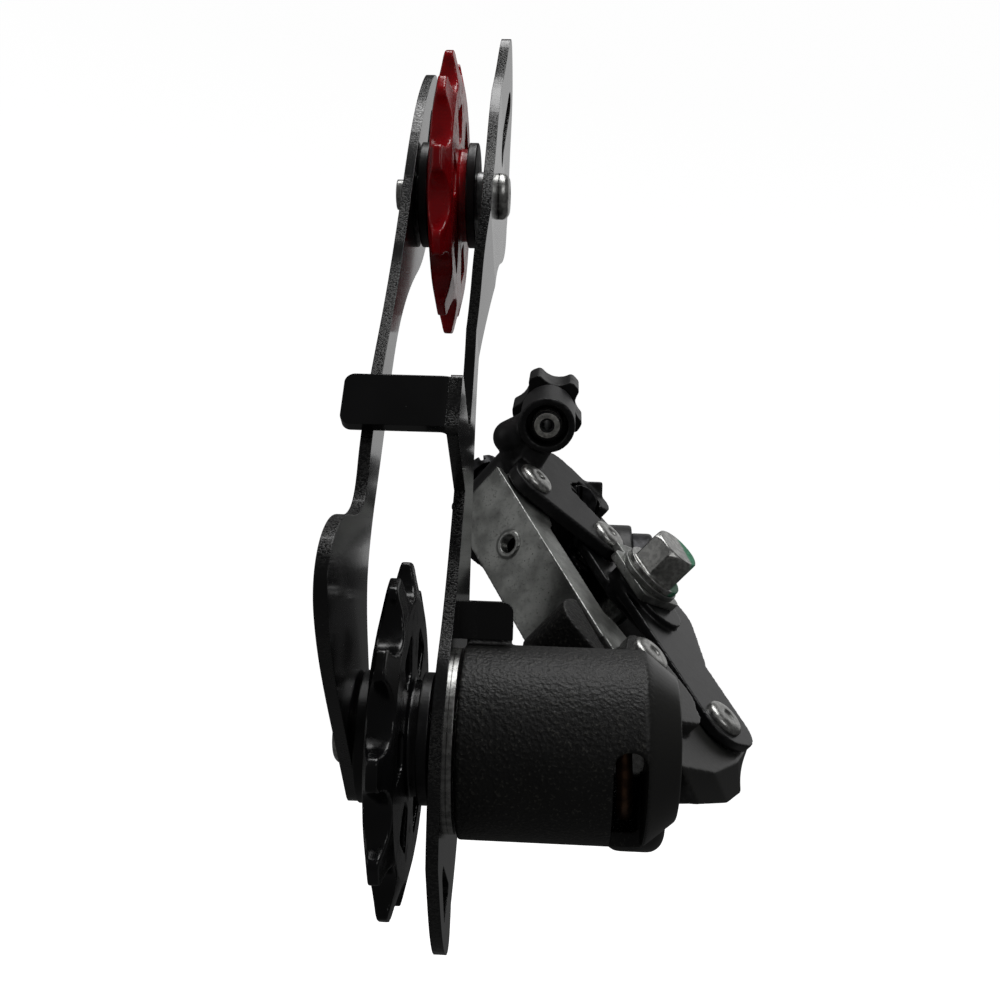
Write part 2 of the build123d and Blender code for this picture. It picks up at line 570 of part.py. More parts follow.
def barrel_adjuster():
    """Hollow adjusting screw with a lobed knob."""
    tube = rod(STOP_TIP + STOP_DIR * 0.4, STOP_TIP + STOP_DIR * BARREL_LONG, BARREL_R)
    start = STOP_TIP + STOP_DIR * 11.6
    knob = Circle(KNOB_R)
    for i in range(KNOB_LOBES):
        angle = KNOB_TURN + 2 * pi * i / KNOB_LOBES
        knob -= Pos(KNOB_NOTCH * cos(angle), KNOB_NOTCH * sin(angle)) * Circle(KNOB_NOTCH_R)
    knob = offset(offset(knob, amount=-KNOB_ROUND), amount=KNOB_ROUND)
    plane = Plane(origin=start, x_dir=(1, 0, 0), z_dir=STOP_DIR)
    grip = extrude(plane * knob, amount=KNOB_LONG)
    body = tube + grip
    body -= rod(STOP_TIP - STOP_DIR * 3, STOP_TIP + STOP_DIR * 30, BARREL_BORE_R)
    body -= rod(start + STOP_DIR * 1.5, start + STOP_DIR * 9, 2.6)
    return body


def tension_screw_lug():
    """Lug on the hanger boss that the body tension screw threads through."""
    low = -10.5
    high = -4.5
    return Pos(BOSS_START + 4, (low + high) / 2, 11.5) * Box(8, high - low, 12)


def adjusting_screw(head, tip):
    """Small screw with a slotted round head."""
    axis = (tip - head).normalized()
    screw = rod(head, tip, SCREW_R)
    screw += rod(head, head + axis * 2.0, SCREW_R + 1.2)
    plane = Plane(origin=head, z_dir=axis)
    return screw - plane * Box(8, SCREW_SLOT, 2.0)


def hanger_bolt():
    """M10 hanger bolt: thread, sleeve that the knuckle turns on, socket head."""
    axis = Vector()
    head_x = BOSS_END + 0.1
    bolt = along_x(axis, -HANGER_THREAD_L, 0, HANGER_THREAD_R)
    bolt += along_x(axis, 0, head_x, HANGER_SLEEVE_R)
    head = along_x(axis, head_x, head_x + HANGER_HEAD_T, HANGER_HEAD_R)
    bolt += fillet(head.edges().sort_by(Axis.X)[-1], 0.8)
    socket = axis_plane(axis, head_x) * RegularPolygon(HANGER_HEX / 2, 6, major_radius=False)
    return bolt - extrude(socket, amount=HANGER_HEAD_T)


def stop_washer():
    """Plate under the hanger boss; its bent tongue takes the body tension screw."""
    plate = along_x(Vector(), 0, WASHER_T, HANGER_BOSS_R)
    plate += Pos(WASHER_T / 2, 0.8, 12.5) * Box(WASHER_T, 6.4, 9)
    plate += Pos(4.5, 0.8, 13.5) * Box(9, WASHER_T, 7)
    return plate - along_x(Vector(), 0, WASHER_T, HANGER_SLEEVE_R + PIN_FIT)


# ---------------------------------------------------------------- cable anchor
def anchor_bolt():
    """Flanged hex bolt that clamps the cable."""
    point = OUTER_B + LINK_DIR * ANCHOR_U
    seat = ANCHOR_SEAT + PINCH_LIFT + PINCH_T + ANCHOR_WASHER_T
    bolt = along_pivot(point, seat, FLANGE_TOP - 5, ANCHOR_R - 0.04)
    bolt += along_pivot(point, seat + ANCHOR_FLANGE_T, seat, ANCHOR_FLANGE_R)
    plane = link_plane(seat + ANCHOR_FLANGE_T, point)
    hexagon = extrude(plane * RegularPolygon(ANCHOR_HEX / 2, 6, major_radius=False), amount=ANCHOR_HEX_T)
    crown = plane * Cone(ANCHOR_HEX / 2 + 4.6, ANCHOR_HEX / 2 - 0.2, ANCHOR_HEX_T, align=MIN)
    return bolt + (hexagon & crown)


def pinch_plate():
    """Square clamp plate with a bent ear that keeps it from turning."""
    point = OUTER_B + LINK_DIR * ANCHOR_U
    plane = link_plane(ANCHOR_SEAT + PINCH_LIFT, point)
    plate = extrude(plane * RectangleRounded(PINCH_SIDE, PINCH_SIDE, 1.2), amount=PINCH_T)
    plate += plane * Pos(-PINCH_SIDE / 2 - 1.0, 0, PINCH_T / 2) * Box(3, 4.6, PINCH_T)
    return plate - along_pivot(point, 5, FLANGE_TOP - 5, ANCHOR_R + BOLT_FIT)


def anchor_washer():
    """Round washer under the anchor bolt's flange."""
    point = OUTER_B + LINK_DIR * ANCHOR_U
    base = ANCHOR_SEAT + PINCH_LIFT + PINCH_T
    washer = along_pivot(point, base + ANCHOR_WASHER_T, base, ANCHOR_FLANGE_R + 0.3)
    return washer - along_pivot(point, 5, FLANGE_TOP - 5, ANCHOR_R + BOLT_FIT)


def seal_ring():
    """Ring that closes the gap between the outer plate and the housing."""
    x0 = GUIDE.X + PLATE_OUTER_X + PLATE_T
    ring = along_x(P_AXIS, x0, x0 + SEAL_T, SEAL_R)
    return ring - along_x(P_AXIS, x0, x0 + SEAL_T, SEAL_R - 3.6)


def write(name, shape):
    """Writes one node."""
    export_step(shape, f"parts/{name}.step")


def main():
    """Makes every node."""
    os.makedirs("parts", exist_ok=True)
    outer_in = PLATE_OUTER_X + OUTER_JOGGLE
    write("cage_outer_plate", outer_plate())
    write("cage_inner_plate", inner_plate())
    write("guide_pulley", Pos(GUIDE) * pulley())
    write("tension_pulley", Pos(TENSION) * pulley())
    write("guide_pulley_bush", bush(GUIDE, PLATE_INNER_X, PLATE_OUTER_X))
    write("tension_pulley_bush", bush(TENSION, PLATE_INNER_X, outer_in))
    cap_x = PULLEY_HUB_T / 2 + CAP_T / 2 + 0.25
    for label, centre in (("guide", GUIDE), ("tension", TENSION)):
        write(f"{label}_cap_inner", cap_ring(centre, -cap_x, -1))
        write(f"{label}_cap_outer", cap_ring(centre, cap_x, 1))
    write("guide_pulley_bolt", pulley_bolt(GUIDE, PLATE_INNER_X - PLATE_T, PLATE_OUTER_X + PLATE_T, False))
    bolt_start = PLATE_INNER_X - PLATE_T - BOLT_OVERHANG
    write("tension_pulley_bolt", pulley_bolt(TENSION, bolt_start, outer_in + PLATE_T, True))
    write("p_knuckle", p_knuckle())
    write("cage_axle", axle())
    write("axle_clip", clip())
    write("knuckle_seal_ring", seal_ring())
    coil_start = P_AXIS + Vector(KNUCKLE_START_X + 2.6, 0, 0)
    cage_spring = coil(coil_start, (1, 0, 0), SPRING_LENGTH, SPRING_MEAN_R, SPRING_WIRE_R, SPRING_TURNS)
    write("cage_spring", cage_spring)
    write("inner_link", inner_link())
    write("outer_link", outer_link())
    write("b_knuckle", b_knuckle())
    write("inner_link_b_pin", pivot_pin(INNER_B, 0, PIN_END))
    write("outer_link_b_pin", pivot_pin(OUTER_B, 0, PIN_END))
    write("inner_link_p_pin", pivot_pin(INNER_P, 0, PIN_END))
    write("outer_link_p_pin", pivot_pin(OUTER_P, BRIDGE_TOP + PIN_HEAD_T, FLANGE_BOTTOM - 0.6))
    spring_base = OUTER_B + PIVOT_AXIS * (FLANGE_BOTTOM + LINK_T + 0.9)
    wire = (RETURN_LENGTH, RETURN_MEAN_R, RETURN_WIRE_R, RETURN_TURNS)
    write("return_spring", coil(spring_base, PIVOT_AXIS, *wire))
    write("barrel_adjuster", barrel_adjuster())
    write("hanger_bolt", hanger_bolt())
    write("hanger_stop_washer", stop_washer())
    write("high_limit_screw", adjusting_screw(*HIGH_SCREW))
    write("low_limit_screw", adjusting_screw(*LOW_SCREW))
    write("b_tension_screw", adjusting_screw(*TENSION_SCREW))
    write("anchor_bolt", anchor_bolt())
    write("pinch_plate", pinch_plate())
    write("anchor_washer", anchor_washer())


main()
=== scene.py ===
import json
import logging
import math
from dataclasses import dataclass, field
from enum import Enum

import bmesh
import bpy
from mathutils import Matrix, Vector


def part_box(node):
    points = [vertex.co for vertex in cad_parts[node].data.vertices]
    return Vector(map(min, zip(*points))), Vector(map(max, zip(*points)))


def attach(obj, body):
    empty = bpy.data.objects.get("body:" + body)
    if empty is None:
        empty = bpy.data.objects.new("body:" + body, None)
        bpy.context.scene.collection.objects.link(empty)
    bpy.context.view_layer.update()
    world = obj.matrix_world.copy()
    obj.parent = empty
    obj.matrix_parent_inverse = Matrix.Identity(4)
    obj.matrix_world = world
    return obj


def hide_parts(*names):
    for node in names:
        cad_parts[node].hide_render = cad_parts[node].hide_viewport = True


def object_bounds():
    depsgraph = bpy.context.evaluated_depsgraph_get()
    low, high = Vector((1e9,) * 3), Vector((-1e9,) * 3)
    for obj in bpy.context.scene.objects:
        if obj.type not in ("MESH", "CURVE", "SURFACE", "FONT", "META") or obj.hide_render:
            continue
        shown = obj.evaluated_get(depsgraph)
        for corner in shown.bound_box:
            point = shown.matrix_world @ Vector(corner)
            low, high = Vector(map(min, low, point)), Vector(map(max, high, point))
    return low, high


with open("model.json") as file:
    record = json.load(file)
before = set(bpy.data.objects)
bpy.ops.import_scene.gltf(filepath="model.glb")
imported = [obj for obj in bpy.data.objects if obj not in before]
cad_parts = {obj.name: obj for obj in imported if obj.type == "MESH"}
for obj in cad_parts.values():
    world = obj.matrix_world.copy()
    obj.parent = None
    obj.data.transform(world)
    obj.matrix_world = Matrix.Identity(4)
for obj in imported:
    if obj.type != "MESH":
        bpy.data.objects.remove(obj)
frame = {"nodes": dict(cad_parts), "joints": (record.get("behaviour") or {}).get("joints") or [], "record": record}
CAD_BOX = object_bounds()

log = logging.getLogger("derailleur")

MM = 0.001
Number = float | int
Colour = tuple[float, float, float]
Triple = tuple[float, float, float]


# ------------------------------------------------------------------ shader bench
class Signal:
    """A shader socket that takes part in Python expressions."""

    def __init__(self, bench: "Bench", socket: bpy.types.NodeSocket) -> None:
        """Keeps the bench that owns the socket."""
        self.bench = bench
        self.socket = socket

    def maths(self, operation: str, *values: "Signal | Number") -> "Signal":
        """Adds one Math node.

        Args:
            operation: the Math node's operation.
            values: its inputs in order.

        Returns:
            The node's result.
        """
        inputs = dict(enumerate(values))
        return self.bench.node("ShaderNodeMath", {"operation": operation}, inputs)

    def __add__(self, other: "Signal | Number") -> "Signal":
        """self + other."""
        return self.maths("ADD", self, other)

    __radd__ = __add__

    def __sub__(self, other: "Signal | Number") -> "Signal":
        """self - other."""
        return self.maths("SUBTRACT", self, other)

    def __rsub__(self, other: "Signal | Number") -> "Signal":
        """other - self."""
        return self.maths("SUBTRACT", other, self)

    def __mul__(self, other: "Signal | Number") -> "Signal":
        """self * other."""
        return self.maths("MULTIPLY", self, other)

    __rmul__ = __mul__

    def __truediv__(self, other: "Signal | Number") -> "Signal":
        """self / other."""
        return self.maths("DIVIDE", self, other)

    def __rtruediv__(self, other: "Signal | Number") -> "Signal":
        """other / self."""
        return self.maths("DIVIDE", other, self)

    def __pow__(self, other: "Signal | Number") -> "Signal":
        """self to the power other."""
        return self.maths("POWER", self, other)

    def __abs__(self) -> "Signal":
        """Size without sign."""
        return self.maths("ABSOLUTE", self)

    def rise(self, low: float, high: float) -> "Signal":
        """Smooth step.

        Args:
            low: value that gives 0.
            high: value that gives 1; it may be below low.

        Returns:
            A mask between 0 and 1.
        """
        values = {"Value": self, "From Min": low, "From Max": high}
        settings = {"interpolation_type": "SMOOTHSTEP", "clamp": True}
        return self.bench.node("ShaderNodeMapRange", settings, values)

    def most(self, other: "Signal | Number") -> "Signal":
        """The larger of two values."""
        return self.maths("MAXIMUM", self, other)


class Bench:
    """The bench on which one material's nodes are put together."""

    def __init__(self, name: str) -> None:
        """Starts a material with one Principled surface."""
        self.material = bpy.data.materials.new(name)
        self.material.use_nodes = True
        self.tree = self.material.node_tree
        self.tree.nodes.clear()
        self.surface = self.tree.nodes.new("ShaderNodeBsdfPrincipled")
        output = self.tree.nodes.new("ShaderNodeOutputMaterial")
        self.tree.links.new(self.surface.outputs[0], output.inputs[0])
        place = self.tree.nodes.new("ShaderNodeTexCoord")
        self.place = Signal(self, place.outputs["Object"])
        self.facing = Signal(self, place.outputs["Normal"])

    def plug(self, socket: bpy.types.NodeSocket, value: object) -> None:
        """Links or sets one input socket.

        Args:
            socket: the input.
            value: a Signal to link, or a constant.
        """
        if isinstance(value, Signal):
            self.tree.links.new(value.socket, socket)
        elif isinstance(value, tuple) and socket.type == "RGBA":
            socket.default_value = (*value, 1.0)
        else:
            socket.default_value = value

    def node(self, kind: str, settings: dict, values: dict, output: int | str = 0) -> Signal:
        """Adds any node.

        Args:
            kind: the node's type.
            settings: its properties.
            values: its inputs by name or number.
            output: which output is wanted.

        Returns:
            That output as a Signal.
        """
        made = self.tree.nodes.new(kind)
        for key, value in settings.items():
            setattr(made, key, value)
        for key, value in values.items():
            self.plug(made.inputs[key], value)
        return Signal(self, made.outputs[output])

    def noise(self, grain_mm: float, detail: float = 3.0, stretch: Triple = (1, 1, 1)) -> Signal:
        """Noise whose blotches are grain_mm across.

        Args:
            grain_mm: size of a blotch in millimetres.
            detail: octaves.
            stretch: factors on each axis; below 1 draws the grain out.

        Returns:
            A value round 0.5.
        """
        spot = self.node("ShaderNodeVectorMath", {"operation": "MULTIPLY"}, {0: self.place, 1: stretch})
        values = {"Vector": spot, "Scale": 1.0 / (grain_mm * MM), "Detail": detail}
        return self.node("ShaderNodeTexNoise", {}, values)

    def specks(self, size_mm: float) -> Signal:
        """Distance to the nearest of scattered points, 0 at a point.

        Args:
            size_mm: mean spacing in millimetres.

        Returns:
            The distance, in cells.
        """
        values = {"Vector": self.place, "Scale": 1.0 / (size_mm * MM)}
        return self.node("ShaderNodeTexVoronoi", {}, values, "Distance")

    def mix(self, share: Signal, first: Colour | Signal, second: Colour | Signal) -> Signal:
        """Colour between two colours.

        Args:
            share: 0 gives first, 1 gives second.
            first: a colour.
            second: a colour.

        Returns:
            The mixed colour.
        """
        made = self.tree.nodes.new("ShaderNodeMix")
        made.data_type = "RGBA"
        self.plug(made.inputs[0], share)
        self.plug(made.inputs[6], first)
        self.plug(made.inputs[7], second)
        return Signal(self, made.outputs[2])

    def along(self, axis: Triple, of: Signal | None = None) -> Signal:
        """Part of a vector along an axis.

        Args:
            axis: unit vector in the frame.
            of: another vector, such as the place; the surface normal if left out.

        Returns:
            The dot product.
        """
        vector = of or self.facing
        return self.node("ShaderNodeVectorMath", {"operation": "DOT_PRODUCT"}, {0: vector, 1: axis}, "Value")

    def far_from(self, centre: Vector, axis: Vector) -> Signal:
        """Distance from a line.

        Args:
            centre: a point on it.
            axis: its unit direction.

        Returns:
            The distance in metres.
        """
        kind = "ShaderNodeVectorMath"
        offset = self.node(kind, {"operation": "SUBTRACT"}, {0: self.place, 1: tuple(centre)})
        turned = self.node(kind, {"operation": "CROSS_PRODUCT"}, {0: offset, 1: tuple(axis)})
        return self.node(kind, {"operation": "LENGTH"}, {0: turned}, "Value")

    def edges(self, radius_mm: float) -> tuple[Signal, Signal]:
        """Rounded normals for hard edges, and a mask of those edges.

        Args:
            radius_mm: how far the rounding reaches.

        Returns:
            The rounded normal, and a value that rises from 0 at the edges.
        """
        rounded = self.node("ShaderNodeBevel", {"samples": 6}, {"Radius": radius_mm * MM})
        true = self.node("ShaderNodeNewGeometry", {}, {}, "Normal")
        same = self.node("ShaderNodeVectorMath", {"operation": "DOT_PRODUCT"}, {0: rounded, 1: true}, "Value")
        return rounded, 1.0 - same

    def raised(self) -> Signal:
        """High on convex edges of a dense mesh, 0.5 on flats."""
        return self.node("ShaderNodeNewGeometry", {}, {}, "Pointiness")

    def bump(self, height: Signal, depth_mm: float, normal: Signal | None = None) -> None:
        """Feeds a Bump node to the surface's Normal.

        Args:
            height: 0 to 1.
            depth_mm: what 1 stands for.
            normal: normal to bend, if not the mesh's.
        """
        values = {"Height": height, "Distance": depth_mm * MM, "Strength": 1.0}
        if normal is not None:
            values["Normal"] = normal
        self.set("Normal", self.node("ShaderNodeBump", {}, values))

    def set(self, socket: str, value: object) -> None:
        """Sets or links one of the surface's sockets."""
        self.plug(self.surface.inputs[socket], value)


# ------------------------------------------------------------------ finishes
class Rounding(Enum):
    """How a finish finds its edges."""

    SHADED = "hard CAD edges, rounded by the shader"
    MODELLED = "edges already rounded in the mesh"


@dataclass(frozen=True)
class Finish:
    """What every finish has."""

    name: str
    rounding: Rounding = Rounding.MODELLED

    def edge_mask(self, bench: Bench, radius_mm: float) -> tuple[Signal | None, Signal]:
        """Normal to use and a mask of worn edges.

        Args:
            bench: the material's bench.
            radius_mm: reach of a shaded edge.

        Returns:
            The normal, or None for the mesh's own, and a 0 to 1 mask.
        """
        if self.rounding is Rounding.SHADED:
            normal, bend = bench.edges(radius_mm)
            return normal, bend.rise(0.02, 0.22)
        return None, bench.raised().rise(0.53, 0.62)

    def make(self) -> bpy.types.Material:
        """The finished material."""
        bench = Bench(self.name)
        self.paint(bench)
        return bench.material

    def paint(self, bench: Bench) -> None:
        """Adds the finish's nodes; each finish has its own."""
        raise NotImplementedError


@dataclass(frozen=True)
class Enamel(Finish):
    """Gloss black enamel on stamped plate, thin and grainy on the sheared edges."""

    colour: Colour = (0.002, 0.002, 0.0022)
    edge_colour: Colour = (0.07, 0.07, 0.068)
    gloss: float = 0.12
    edge_from: float = -1.0
    edge_to: float = 1.0
    edge_blend: float = 0.0002

    def paint(self, bench: Bench) -> None:
        """Enamel with orange peel, dust and a sheared edge.

        Args:
            bench: the material's bench.
        """
        normal, bend = bench.edges(0.22)
        worn = bend.rise(0.03, 0.3)
        grain = bench.noise(0.35, 4.0)
        cloud = bench.noise(9.0, 2.0)
        dust = bench.specks(1.3).rise(0.09, 0.05) * bench.noise(3.0).rise(0.5, 0.6)
        across = bench.along((1, 0, 0), bench.place)
        inboard = across.rise(self.edge_from, self.edge_from + self.edge_blend)
        cut = inboard * across.rise(self.edge_to, self.edge_to - self.edge_blend)
        shear = abs(bench.along((1, 0, 0))).rise(0.5, 0.25) * cut
        tear = bench.noise(0.22, 4.0, (0.6, 1, 1)).rise(0.44, 0.6) * bench.noise(14.0, 2.0).rise(0.38, 0.6)
        bare = (shear * (tear * 0.8 + 0.015)).most(worn * grain.rise(0.45, 0.62) * 0.35)
        base = bench.mix(cloud.rise(0.35, 0.65), self.colour, tuple(c * 1.8 for c in self.colour))
        base = bench.mix(dust * 0.35, base, (0.12, 0.12, 0.12))
        bench.set("Base Color", bench.mix(bare, base, self.edge_colour))
        bench.set("Metallic", bare * 0.5)
        rough = self.gloss + cloud * 0.06 + bare * 0.32 + shear * 0.04 + dust * 0.3
        bench.set("Roughness", rough)
        bench.set("Coat Weight", 0.35 - bare * 0.3)
        bench.set("Coat Roughness", 0.08)
        peel = bench.noise(0.9, 2.0) * 0.35 + grain * (shear * 0.5 + 0.06) + tear * shear * 0.8
        bench.bump(peel, 0.025, normal)


@dataclass(frozen=True)
class SatinPaint(Finish):
    """Satin black paint on a die casting."""

    colour: Colour = (0.006, 0.006, 0.0065)
    rough: float = 0.34

    def paint(self, bench: Bench) -> None:
        """Satin paint with soft casting waves and rubbed edges.

        Args:
            bench: the material's bench.
        """
        normal, worn = self.edge_mask(bench, 0.3)
        wave = bench.noise(2.4, 3.0)
        grain = bench.noise(0.22, 4.0)
        rub = worn * grain.rise(0.4, 0.6)
        base = bench.mix(wave.rise(0.3, 0.7), self.colour, tuple(c * 1.9 for c in self.colour))
        bench.set("Base Color", bench.mix(rub * 0.5, base, (0.06, 0.06, 0.062)))
        bench.set("Roughness", self.rough + grain * 0.12 + wave * 0.08 - rub * 0.06)
        bench.bump(grain * 0.35 + wave * 0.8, 0.035, normal)


@dataclass(frozen=True)
class TexturedCoat(Finish):
    """Rough black powder coat, with painted highlights on its lump tops."""

    colour: Colour = (0.0065, 0.0065, 0.0062)
    satin_painted_light_colour: Colour = (0.024, 0.024, 0.0225)
    lump_mm: float = 0.42
    smooth_beyond_x: float = 1.0
    fade: float = 0.0012

    def paint(self, bench: Bench) -> None:
        """Pebbled coat that runs out to satin beyond one end of the piece; the satin end is painted lighter,
        painted light standing in for its lit facets.

        Args:
            bench: the material's bench.
        """
        normal, worn = self.edge_mask(bench, 0.3)
        lumps = bench.noise(self.lump_mm, 3.0)
        pebble = bench.specks(self.lump_mm * 1.5)
        cloud = bench.noise(6.0, 2.0)
        across = bench.along((1, 0, 0), bench.place)
        satin = across.rise(self.smooth_beyond_x - self.fade, self.smooth_beyond_x + self.fade)
        coarse = 1.0 - satin
        base = bench.mix(cloud.rise(0.35, 0.65), self.colour, tuple(c * 1.5 for c in self.colour))
        # painted highlight: the tops of the lumps are painted lighter, standing in for glints of light on the
        # pebbles
        base = bench.mix(lumps.rise(0.56, 0.7) * coarse * 0.8, base, (0.075, 0.073, 0.064))
        # painted light: the satin end gets a lighter colour so that its facets read as lit
        base = bench.mix(satin, base, self.satin_painted_light_colour)
        bench.set("Base Color", bench.mix(worn * lumps.rise(0.42, 0.6) * 0.5, base, (0.07, 0.07, 0.07)))
        bench.set("Roughness", 0.27 + coarse * 0.17 + lumps * 0.12)
        height = (lumps * 0.75 + pebble * 0.45) * (coarse * 0.92 + 0.08)
        bench.bump(height, 0.16, normal)


@dataclass(frozen=True)
class ZincPlate(Finish):
    """Bright zinc plating, mottled and scratched by handling."""

    light: Colour = (0.5, 0.51, 0.49)
    dark: Colour = (0.24, 0.245, 0.235)
    drawn: Triple = (1, 1, 1)

    def paint(self, bench: Bench) -> None:
        """Plating with stains, drawing lines and dents.

        Args:
            bench: the material's bench.
        """
        normal, worn = self.edge_mask(bench, 0.25)
        stain = bench.noise(3.2, 6.0)
        patch = bench.noise(8.0, 3.0)
        lines = bench.noise(0.6, 5.0, self.drawn)
        pits = bench.specks(0.7).rise(0.24, 0.08)
        shade = (stain * 0.55 + patch * 0.45).rise(0.36, 0.64)
        base = bench.mix(shade, self.dark, self.light)
        base = bench.mix(lines.rise(0.52, 0.75) * 0.45, base, (0.13, 0.13, 0.125))
        base = bench.mix(pits * stain.rise(0.5, 0.6) * 0.6, base, (0.06, 0.06, 0.055))
        bench.set("Base Color", bench.mix(worn * 0.6, base, (0.75, 0.75, 0.74)))
        bench.set("Metallic", 0.92)
        bench.set("Roughness", 0.24 + stain * 0.2 + lines * 0.12)
        bench.bump(lines * 0.5 + stain * 0.6 - pits * 0.5, 0.05, normal)


@dataclass(frozen=True)
class BrightSteel(Finish):
    """Nickel plated steel turned or headed on an axis."""

    centre: Triple = (0, 0, 0)
    axis: Triple = (1, 0, 0)
    colour: Colour = (0.66, 0.66, 0.64)
    rough: float = 0.22
    ring_mm: float = 0.22

    def paint(self, bench: Bench) -> None:
        """Plating with fine turning rings and dark spots.

        Args:
            bench: the material's bench.
        """
        normal, worn = self.edge_mask(bench, 0.15)
        radius = bench.far_from(Vector(self.centre), Vector(self.axis))
        phase = radius * (math.tau / (self.ring_mm * MM))
        rings = phase.maths("SINE", phase)
        stain = bench.noise(0.8, 5.0)
        spots = bench.specks(0.55).rise(0.2, 0.08) * bench.noise(1.8).rise(0.5, 0.58)
        base = bench.mix(stain.rise(0.35, 0.7), tuple(c * 0.55 for c in self.colour), self.colour)
        base = bench.mix(spots * 0.7, base, (0.05, 0.05, 0.05))
        bench.set("Base Color", bench.mix(worn * 0.5, base, (0.85, 0.85, 0.83)))
        bench.set("Metallic", 0.95)
        bench.set("Roughness", self.rough + stain * 0.2 + spots * 0.2)
        bench.bump(rings * 0.12 + stain * 0.5 - spots * 0.4, 0.02, normal)


@dataclass(frozen=True)
class MarkedSteel(BrightSteel):
    """Bright steel with a dab of green inspection paint on one side."""

    toward: Triple = (1, 0, 0)
    paint_colour: Colour = (0.0, 0.22, 0.085)
    reach: tuple[float, float] = (0.0010, 0.0019)
    ragged_by: float = 0.0014

    def paint(self, bench: Bench) -> None:
        """Steel, then the dab over it.

        Args:
            bench: the material's bench.
        """
        super().paint(bench)
        side = Vector(self.toward)
        offset = {0: bench.place, 1: self.centre}
        spot = bench.node("ShaderNodeVectorMath", {"operation": "SUBTRACT"}, offset)
        across = bench.along(tuple(side), spot)
        ragged = across + (bench.noise(0.9, 4.0) - 0.5) * self.ragged_by
        dab = ragged.rise(*self.reach)
        steel = self.linked(bench, "Base Color")
        green = bench.mix(bench.noise(0.6, 4.0).rise(0.35, 0.7), self.paint_colour, (0.01, 0.36, 0.17))
        bench.set("Base Color", bench.mix(dab, steel, green))
        bench.set("Metallic", 0.95 - dab * 0.95)
        bench.set("Roughness", self.linked(bench, "Roughness") + dab * 0.1)

    def linked(self, bench: Bench, socket: str) -> Signal:
        """What already feeds one of the surface's sockets."""
        return Signal(bench, bench.surface.inputs[socket].links[0].from_socket)


@dataclass(frozen=True)
class Moulding(Finish):
    """Injection moulded plastic."""

    colour: Colour = (0.005, 0.005, 0.006)
    shade: Colour = (0.002, 0.002, 0.002)
    gloss: float = 0.18
    glow: float = 0.0

    def paint(self, bench: Bench) -> None:
        """Moulded skin with flow marks, a little grease and scuffed edges.

        Args:
            bench: the material's bench.
        """
        normal, worn = self.edge_mask(bench, 0.2)
        flow = bench.noise(5.0, 2.0)
        skin = bench.noise(0.4, 3.0)
        grease = bench.noise(2.2, 4.0).rise(0.5, 0.72)
        base = bench.mix(flow.rise(0.3, 0.7), self.shade, self.colour)
        pale = tuple(min(1.0, c * 1.35 + 0.012) for c in self.colour)
        bench.set("Base Color", bench.mix(worn * 0.6, base, pale))
        bench.set("Roughness", self.gloss + skin * 0.1 + grease * 0.14)
        bench.set("Subsurface Weight", self.glow)
        bench.set("Subsurface Radius", (0.0022, 0.0004, 0.0003))
        bench.set("Subsurface Scale", 1.0)
        bench.bump(skin * 0.25 + flow * 0.8, 0.03, normal)


@dataclass(frozen=True)
class SpringWire(Finish):
    """Oil tempered wire."""

    colour: Colour = (0.17, 0.085, 0.045)

    def paint(self, bench: Bench) -> None:
        """Brown wire with drawing lines and dark oil.

        Args:
            bench: the material's bench.
        """
        oil = bench.noise(1.6, 5.0)
        lines = bench.noise(0.15, 3.0)
        bench.set("Base Color", bench.mix(oil.rise(0.35, 0.65), self.colour, (0.07, 0.035, 0.02)))
        bench.set("Metallic", 0.8)
        bench.set("Roughness", 0.28 + oil * 0.25)
        bench.bump(lines, 0.01)


@dataclass(frozen=True)
class BlackOxide(Finish):
    """Black oxide on turned steel, rubbed bright on its edges."""

    def paint(self, bench: Bench) -> None:
        """Oxide with rubbed edges and oil marks.

        Args:
            bench: the material's bench.
        """
        normal, worn = self.edge_mask(bench, 0.2)
        stain = bench.noise(1.2, 5.0)
        base = bench.mix(stain.rise(0.35, 0.7), (0.02, 0.02, 0.021), (0.055, 0.055, 0.06))
        bench.set("Base Color", bench.mix(worn * stain.rise(0.35, 0.6), base, (0.4, 0.39, 0.37)))
        bench.set("Metallic", 0.85)
        bench.set("Roughness", 0.3 + stain * 0.2)
        bench.bump(stain, 0.015, normal)


@dataclass(frozen=True)
class PaleSweep(Finish):
    """Matt off-white paper of the studio sweep."""

    def paint(self, bench: Bench) -> None:
        """Paper with a faint tooth.

        Args:
            bench: the material's bench.
        """
        tooth = bench.noise(1.2, 4.0)
        bench.set("Base Color", bench.mix(tooth, (0.93, 0.93, 0.93), (0.96, 0.96, 0.96)))
        bench.set("Roughness", 0.85)
        bench.set("Emission Color", (1.0, 1.0, 1.0))
        bench.set("Emission Strength", 0.92)
        bench.bump(tooth, 0.02)


# ------------------------------------------------------------------ workshop
@dataclass(frozen=True)
class Grid:
    """How finely a copy is remeshed, and how many smoothing passes round its edges."""

    voxel_mm: float
    passes: int


CAST = Grid(0.28, 5)
MOULDED = Grid(0.2, 4)
PRESSED = Grid(0.22, 4)
TURNED = Grid(0.2, 3)
PUNCHED = Grid(0.18, 3)
KNOB = Grid(0.14, 4)
SMALL_SOFT = Grid(0.12, 4)
SMALL = Grid(0.12, 3)
BOLT_HEAD = Grid(0.11, 3)


